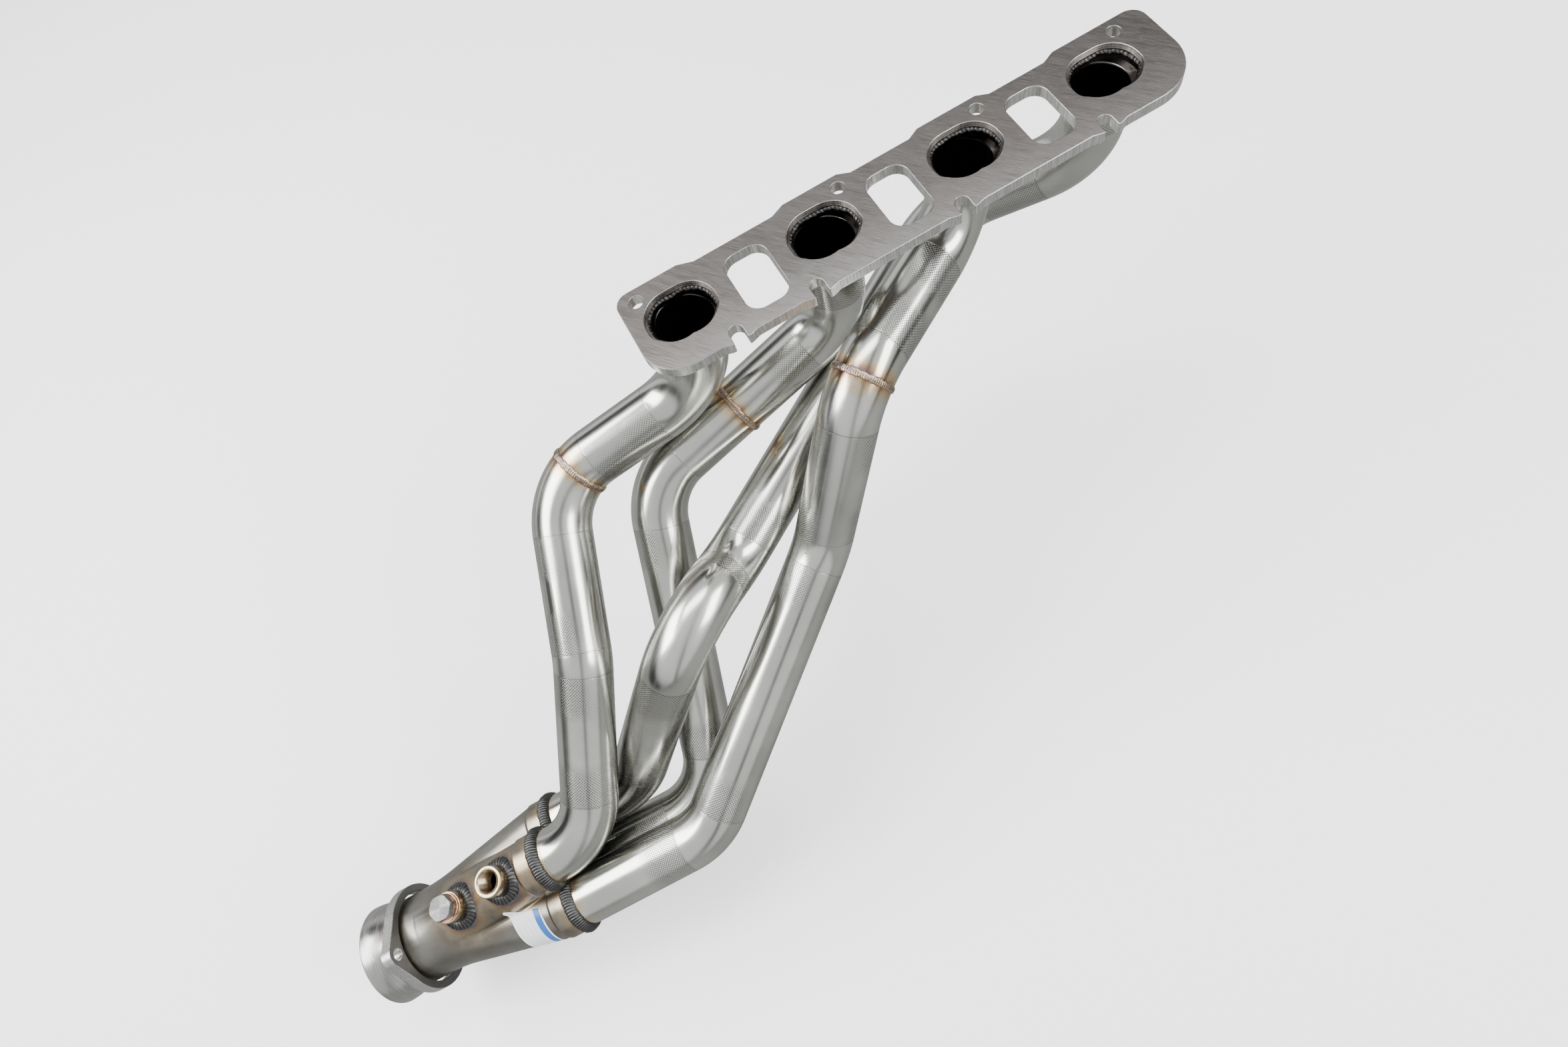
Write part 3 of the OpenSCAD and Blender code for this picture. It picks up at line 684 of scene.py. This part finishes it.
def own_quarter(k):
    """Keeps a bead on its own side of the planes between neighbouring tubes."""
    sign = np.sign(inlets[k - 1])

    def keep(grid):
        """Moves points that stray over a dividing plane back beside it."""
        inverse = np.linalg.inv(turned(np.eye(3)))
        local = (grid - merge_at) @ inverse
        for axis in (0, 1):
            local[..., axis] = sign[axis] * np.maximum(sign[axis] * local[..., axis], 0.00008)
        return merge_at + turned(local)
    return keep


for k in range(1, 5):
    c = inlets[k - 1]
    ang = around(720)
    x, y = np.cos(ang), np.sin(ang)
    ring = row_point(c[0] + 0.0248 * x, c[1] + 0.0248 * y, -0.0012)
    out = turned(np.stack([x, y, 0 * x], -1))
    across = turned(np.stack([0.25 * x, 0.25 * y, 1 + 0 * x], -1))
    weld = bead(f"collector_bead_{k}", ring, out, across, 0.0104, 0.0030, 0.0022, 0.12, 1.3 * k,
                own_quarter(k))
    stand_in(weld, "header", "dark_weld", dark_weld, f"collector_weld_{k}")

# ---------------------------------------------------------------- ball outlet
# A stainless ring rolled to a ball, which seats in the socket of the pipe behind. It is welded
# to the neck and brushed in the lathe, so its grain runs round it.


def lathe(title, profile, place, turns=160, **extra):
    """A closed profile of (radius, station) points, turned about an axis by place(x, y, s)."""
    ang = around(turns)[None]
    r, s = profile[:, :1], profile[:, 1:]
    grid = place(r * np.cos(ang), r * np.sin(ang), s + 0 * ang)
    dist = np.concatenate([[0], np.cumsum(np.linalg.norm(np.diff(profile, axis=0), axis=1))])
    return skin(title, grid, True, True, (2 * np.pi * float(profile[:, 0].max()) / turns, dist), **extra)


def arc(radius, middle, start, end, count):
    """Points of a circle in the (radius, station) plane, from angle start to end in degrees."""
    t = np.radians(np.linspace(start, end, count))
    return np.stack([middle[0] + radius * np.cos(t), middle[1] + radius * np.sin(t)], -1)


ball_s, ball_r = 0.189, 0.0435
low = -math.degrees(math.asin((ball_s - neck_end) / ball_r))
low_in = -math.degrees(math.asin((ball_s - neck_end) / (ball_r - 0.0018)))
ball_profile = np.concatenate([arc(ball_r, (0, ball_s), low, -0.9, 40),
                               arc(0.0009, (ball_r - 0.0009, ball_s - 0.0009), 0, 180, 9),
                               arc(ball_r - 0.0018, (0, ball_s), -1.2, low_in, 30)])
ball = lathe("outlet_ball_ring", ball_profile, row_point)
turned_steel, tree, where = new_material("lathe_brushed")
at = make(tree, "ShaderNodeSeparateXYZ", {0: make(tree, "ShaderNodeUVMap", uv_map="UVMap").outputs[0]})
swap = make(tree, "ShaderNodeCombineXYZ", {0: at.outputs[1], 1: at.outputs[0], 2: 0.0}).outputs[0]
line = use(tree, streaks, {"Vector": swap, "Fine": 1700.0, "Stretch": 60.0})
soft = cloud(tree, where, 18.0, 3.0)
colour = blend(tree, fade(tree, line["Line"], 0.3, 0.7), (0.34, 0.332, 0.32), (0.50, 0.495, 0.48))
colour = blend(tree, fade(tree, soft, 0.45, 0.7, 0.0, 0.12), colour, (0.34, 0.31, 0.28))
rough = fade(tree, line["Band"], 0.3, 0.7, 0.22, 0.34)
finish_metal(turned_steel, colour, rough, line["Line"], 0.00006)
stand_in(ball, "header", "outlet_steel", turned_steel, "outlet_ball")
ang = around(720)
x, y = np.cos(ang), np.sin(ang)
ring = row_point(neck_r * x, neck_r * y, neck_end - 0.0012)
weld = bead("outlet_bead", ring, turned(np.stack([x, y, 0 * x], -1)),
            turned(np.stack([0 * x, 0 * x, 1 + 0 * x], -1)),
            0.0032, 0.0008, 0.0016, 0.2, 5.0)
stand_in(weld, "header", "weld_bead", bright_weld, "outlet_weld")

# ---------------------------------------------------------------- loose outlet flange
# A two-bolt plate that hangs loose on the neck and pulls the ball into its socket. It is cut
# from thick plate, left dull on its faces, and bright where its edge was dressed.
loose = merged_copy("outlet_flange", "loose_flange_plate", 0.0006)
dull_plate, tree, where = new_material("dull_cut_plate")
axis = turned([0.0, 0.0, 1.0])
facing = make(tree, "ShaderNodeVectorMath", {0: make(tree, "ShaderNodeNewGeometry").outputs["True Normal"],
              1: tuple(float(v) for v in axis)}, operation="DOT_PRODUCT").outputs["Value"]
on_face = fade(tree, calc(tree, "ABSOLUTE", facing), 0.6, 0.9)
grit = cloud(tree, where, 1300.0, 4.0, 0.7)
soft = cloud(tree, where, 30.0, 3.0)
cut = use(tree, streaks, {"Vector": stretched(tree, where, (1, 1, 1), (0, math.radians(-82), 0)),
          "Fine": 1400.0, "Stretch": 20.0})
face_tone = blend(tree, fade(tree, soft, 0.3, 0.7), (0.20, 0.20, 0.192), (0.28, 0.277, 0.268))
edge_tone = blend(tree, fade(tree, cut["Line"], 0.35, 0.65), (0.42, 0.42, 0.41), (0.68, 0.68, 0.66))
colour = blend(tree, on_face, edge_tone, face_tone)
rough = calc(tree, "ADD", calc(tree, "MULTIPLY", on_face, 0.16), fade(tree, grit, 0.3, 0.7, 0.26, 0.34))
finish_metal(dull_plate, colour, rough, calc(tree, "ADD", grit, cut["Line"]), 0.00010)
stand_in(loose, "outlet_flange", "loose_flange_steel", dull_plate, "outlet_flange")

# ---------------------------------------------------------------- sensor bungs
# Two turned stainless bungs with M18 x 1.5 threads stand on the first lobe. Each is set into a
# hole in the sheet and welded all round with a heavy fillet that follows the saddle.
bung_r, thread_r, thread_deep, pitch = 0.0127, 0.0082, 0.0008, 0.0015


def bung_place(station):
    """Puts (x, y, h) of a bung, h being height above the collector's axis, into the row frame."""
    def place(x, y, h):
        """The point itself."""
        return row_point(spoke_out[0] * h + spoke_side[0] * x, spoke_out[1] * h + spoke_side[1] * x,
                         station + y)
    return place


bung_steel, tree, where = new_material("straw_tinted_bung")
at = make(tree, "ShaderNodeSeparateXYZ", {0: make(tree, "ShaderNodeUVMap", uv_map="UVMap").outputs[0]})
swap = make(tree, "ShaderNodeCombineXYZ", {0: at.outputs[1], 1: at.outputs[0], 2: 0.0}).outputs[0]
line = use(tree, streaks, {"Vector": swap, "Fine": 2200.0, "Stretch": 40.0})
soft = cloud(tree, where, 120.0, 3.0)
colour = blend(tree, fade(tree, soft, 0.35, 0.7), (0.38, 0.29, 0.16), (0.50, 0.42, 0.29))
colour = blend(tree, fade(tree, attribute(tree, "height"), 0.006, 0.001, 0.0, 0.8), colour,
               (0.30, 0.23, 0.20))
finish_metal(bung_steel, colour, fade(tree, line["Band"], 0.3, 0.7, 0.16, 0.27), line["Line"], 0.00005)
for name, (station, foot, mouth) in bungs.items():
    place = bung_place(station)
    edge = 0.0008
    outer = np.array([[bung_r, foot], [bung_r, mouth - edge], [bung_r - 0.25 * edge, mouth - 0.3 * edge],
                      [bung_r - edge, mouth], [thread_r + 0.0016, mouth],
                      [thread_r + 0.0012, mouth - 0.0003]])
    h = np.linspace(foot, mouth - 0.0005, 110)[::-1]
    ang = around(96)[None]
    turn = h[:, None] / pitch - ang / (2 * np.pi)
    groove = thread_r + thread_deep * (1 - np.abs(2 * (turn % 1.0) - 1)) ** 0.8
    r = np.concatenate([np.repeat(outer[:, :1], 96, 1), groove])
    hh = np.concatenate([outer[:, 1], h])[:, None] + 0 * ang
    grid = place(r * np.cos(ang), r * np.sin(ang), hh)
    bung = skin(f"{name}_bung_turned", grid, True, True, (2 * np.pi * bung_r / 96, hh[:, 0]),
                {"height": np.maximum(hh - (0.0565 if name == "open" else 0.046), 0)}, flip=True)
    stand_in(bung, "header", "bung_steel", bung_steel, f"{name}_bung")
    ang = around(480)
    x, y = bung_r * np.cos(ang), bung_r * np.sin(ang)

    def saddle(h):
        """How far the bung's rim at height h is outside the collector."""
        return merge_distance(spoke_out[0] * h + spoke_side[0] * x, spoke_out[1] * h + spoke_side[1] * x,
                              station + y)

    sits = on_surface(saddle, np.full(480, foot - 0.004), np.full(480, mouth))
    spokes = turned(np.stack([spoke_side[0] * np.cos(ang), spoke_side[1] * np.cos(ang), np.sin(ang)], -1))
    up = np.repeat(turned([[spoke_out[0], spoke_out[1], 0.0]]), 480, 0)
    weld = bead(f"{name}_bung_bead", place(x, y, sits) + spokes * 0.0022, up + 0.75 * spokes,
                spokes - 0.75 * up, 0.0098, 0.0030, 0.0030, 0.14, 3.0 + station * 50, None, 0.07)
    stand_in(weld, "header", "dark_weld", dark_weld, f"{name}_bung_weld")

# ---------------------------------------------------------------- plug and washer
# A bright hex plug closes the second bung on a copper crush washer. Its face was turned, so it
# shows fine rings about its middle.
station, foot, mouth = bungs["plugged"]
place = bung_place(station)
seat = mouth + 0.00005
washer = lathe("crush_washer", np.concatenate([arc(0.0007, (0.0108, seat + 0.0007), -90, 90, 9),
               arc(0.0007, (0.0092, seat + 0.0007), 90, 270, 9)]), place, 96, flip=True)
copper, tree, where = new_material("dull_copper")
soft = cloud(tree, where, 300.0, 4.0)
colour = blend(tree, fade(tree, soft, 0.3, 0.7), (0.46, 0.24, 0.14), (0.66, 0.38, 0.25))
finish_metal(copper, colour, fade(tree, soft, 0.3, 0.7, 0.26, 0.42), soft, 0.00008)
stand_in(washer, "washer", "washer_copper", copper, "sealing_washer")
plug = merged_copy("hex_plug", "hex_plug_turned", 0.0003)
bright, tree, where = new_material("bright_turned_plug")
middle = tuple(float(v) for v in row_point(0.0, 0.0, station))
shaft = tuple(float(v) for v in turned([spoke_out[0], spoke_out[1], 0.0]))
rel = make(tree, "ShaderNodeVectorMath", {0: where, 1: middle}, operation="SUBTRACT").outputs[0]
off = make(tree, "ShaderNodeVectorMath", {0: rel, 1: shaft}, operation="CROSS_PRODUCT").outputs[0]
radius = make(tree, "ShaderNodeVectorMath", {0: off}, operation="LENGTH").outputs["Value"]
facing = make(tree, "ShaderNodeVectorMath", {0: make(tree, "ShaderNodeNewGeometry").outputs["True Normal"],
              1: shaft}, operation="DOT_PRODUCT").outputs["Value"]
top = fade(tree, facing, 0.8, 0.95)
rings = calc(tree, "MULTIPLY", calc(tree, "SINE", calc(tree, "MULTIPLY", radius, 2 * math.pi / 0.00042)), top)
soft = cloud(tree, where, 500.0, 3.0)
colour = blend(tree, fade(tree, rings, -0.6, 0.8), (0.22, 0.22, 0.22), (0.42, 0.42, 0.415))
finish_metal(bright, colour, fade(tree, soft, 0.3, 0.7, 0.24, 0.30), rings, 0.00004)
stand_in(plug, "plug", "plug_steel", bright, "hex_plug")

# ---------------------------------------------------------------- label
# A blank film label with a blue band, stuck round the third lobe. One corner has lifted.
wide, tall, corner = 0.056, 0.029, 0.003
u = np.linspace(-1, 1, 60)[None]
v = np.linspace(-1, 1, 40)[:, None]
y = v * tall / 2
short = np.maximum(np.abs(y) - (tall / 2 - corner), 0)
x = u * (wide / 2 - corner + np.sqrt(corner ** 2 - short ** 2))
c = inlets[2]
label_turn = math.radians(167)
begin = np.array([c[0], c[1], sleeve_end])
way = unit(np.array([np.sign(c[0]) * lobe_end, np.sign(c[1]) * lobe_end, lobe_s]) - begin)
s = 0.038 + y + 0 * u
mid = begin[:2] + way[:2] / way[2] * (s - sleeve_end)[..., None]
turn = label_turn + x / 0.0262
dirs = np.stack([np.cos(turn), np.sin(turn)], -1)
reach = on_surface(lambda q: merge_distance(*np.moveaxis(mid + q[..., None] * dirs, -1, 0), s),
                   np.full(s.shape, 0.01), np.full(s.shape, 0.05))
lift = 0.0030 * np.clip((u - 0.62) / 0.38, 0, 1) ** 2 * np.clip((v - 0.2) / 0.8, 0, 1) ** 2
reach = reach + 0.00022 + lift
grid = row_point(mid[..., 0] + reach * dirs[..., 0], mid[..., 1] + reach * dirs[..., 1], s)
film = skin("blank_label", grid, False, False, None, {"across": u + 0 * v, "along": v + 0 * u}, flip=True)
thick = film.modifiers.new("film", "SOLIDIFY")
thick.thickness = 0.00012
thick.offset = -1
label_film, tree, where = new_material("label_film")
al, ac = attribute(tree, "along"), attribute(tree, "across")
band = calc(tree, "MULTIPLY", fade(tree, al, -0.86, -0.84), fade(tree, al, -0.47, -0.45, 1.0, 0.0))
rule = calc(tree, "MULTIPLY", fade(tree, calc(tree, "ABSOLUTE", calc(tree, "SUBTRACT", calc(tree, "FRACT",
            calc(tree, "MULTIPLY", al, 3.6)), 0.5)), 0.10, 0.13, 1.0, 0.0),
            calc(tree, "MULTIPLY", fade(tree, al, -0.20, -0.16), fade(tree, al, 0.74, 0.78, 1.0, 0.0)))
rule = calc(tree, "MULTIPLY", rule, fade(tree, calc(tree, "ABSOLUTE", ac), 0.60, 0.64, 1.0, 0.0))
soft = cloud(tree, where, 90.0, 3.0)
colour = blend(tree, fade(tree, soft, 0.3, 0.7), (0.80, 0.81, 0.83), (0.88, 0.885, 0.90))
colour = blend(tree, calc(tree, "MULTIPLY", rule, 0.35), colour, (0.45, 0.47, 0.52))
colour = blend(tree, band, colour, (0.020, 0.13, 0.45))
finish_metal(label_film, colour, fade(tree, soft, 0.3, 0.7, 0.30, 0.40), soft, 0.00005, 0.0)
stand_in(film, "header", "label_film", label_film, "label")

# ---------------------------------------------------------------- studio
# A pale floor under the part, a broad soft light over it, two side lights, and a pale room with
# a darker belt that gives the polished tubes their long dark lines.
scene = bpy.context.scene
floor_z = cad_box[0][2] - 0.03
ang = around(96)
rings = np.array([0.0, 0.4, 1.0, 2.0, 3.4])[:, None]
disc = np.stack([rings * np.cos(ang) - 0.25, rings * np.sin(ang) - 0.1, 0 * rings * ang + floor_z], -1)
floor = skin("floor", disc, True, False)
pale, tree, where = new_material("pale_floor")
soft = cloud(tree, where, 3.0, 2.0)
glossy = make(tree, "ShaderNodeLightPath").outputs["Is Glossy Ray"]
colour = blend(tree, soft, (0.93, 0.93, 0.93), (0.95, 0.95, 0.95))
colour = blend(tree, glossy, colour, (0.20, 0.20, 0.195))
finish_metal(pale, colour, 0.75, soft, 0.0001, 0.0)
glow = next(node for node in tree.nodes if node.type == "BSDF_PRINCIPLED").inputs
glow["Emission Color"].default_value = (1, 1, 1, 1)
seen = make(tree, "ShaderNodeLightPath").outputs["Is Camera Ray"]
tree.links.new(calc(tree, "MULTIPLY", seen, 0.90), glow["Emission Strength"])
floor.data.materials.append(pale)

world = bpy.data.worlds.new("studio")
scene.world = world
world.use_nodes = True
tree = world.node_tree
tree.nodes.clear()
look = make(tree, "ShaderNodeTexCoord").outputs["Generated"]
belt_way = make(tree, "ShaderNodeVectorMath", {0: look, 1: (-0.03, -0.40, 0.915)},
                operation="DOT_PRODUCT").outputs["Value"]
belt = calc(tree, "MULTIPLY", fade(tree, belt_way, -0.20, -0.04), fade(tree, belt_way, 0.22, 0.42, 1.0, 0.0))
slit_way = make(tree, "ShaderNodeVectorMath", {0: look, 1: (0.865, -0.47, -0.177)},
                operation="DOT_PRODUCT").outputs["Value"]
slit = fade(tree, calc(tree, "ABSOLUTE", calc(tree, "SUBTRACT", slit_way, 0.12)), 0.06, 0.12, 1.0, 0.0)
dark = calc(tree, "MAXIMUM", calc(tree, "MULTIPLY", belt, 0.96), calc(tree, "MULTIPLY", slit, 0.70))
seen = make(tree, "ShaderNodeLightPath").outputs["Is Camera Ray"]
dark = calc(tree, "MULTIPLY", dark, calc(tree, "SUBTRACT", 1.0, seen))
room = make(tree, "ShaderNodeBackground",
            {0: blend(tree, dark, (0.93, 0.94, 0.95), (0.012, 0.012, 0.012)), 1: 1.12})
out = tree.nodes.new("ShaderNodeOutputWorld")
tree.links.new(room.outputs[0], out.inputs[0])


def pose(right, up, back, place):
    """The matrix that puts an object at its place with its own axes along the three directions."""
    return Matrix([[*row, p] for row, p in zip(np.stack([right, up, back], -1), place)] + [[0, 0, 0, 1]])


def soft_light(title, place, aim, size, power):
    """A square soft box that faces its aim."""
    lamp = bpy.data.lights.new(title, "AREA")
    lamp.shape = "RECTANGLE"
    lamp.size, lamp.size_y = size
    lamp.energy = power
    made = bpy.data.objects.new(title, lamp)
    back = unit(np.array(place) - np.array(aim))
    right = unit(np.cross([0.2, 0.98, 0.1], back))
    up = np.cross(back, right)
    made.matrix_world = pose(right, up, back, place)
    scene.collection.objects.link(made)
    return made


centre = (-0.25, -0.12, -0.15)
soft_light("key_left", (-1.6, 0.5, 1.2), centre, (0.9, 1.6), 56)
soft_light("key_right", (1.1, -1.3, 1.1), centre, (0.8, 1.6), 42)
soft_light("over", (-0.2, 0.3, 1.9), centre, (1.6, 0.6), 26)

right = np.array([0.8646936, -0.4700638, -0.1770452])
up = np.array([0.5012499, 0.7847334, 0.3646120])
back = np.array([-0.0324577, -0.4040216, 0.9141734])
eye = np.array([-0.2021, -0.39585, 0.50999]) + origin
view = bpy.data.cameras.new("view")
view.sensor_width = 36.0
view.lens = 36.0 * 1379.19 / 2349
view.clip_start = 0.02
camera = bpy.data.objects.new("view", view)
camera.matrix_world = pose(right, up, back, eye)
scene.collection.objects.link(camera)
scene.camera = camera
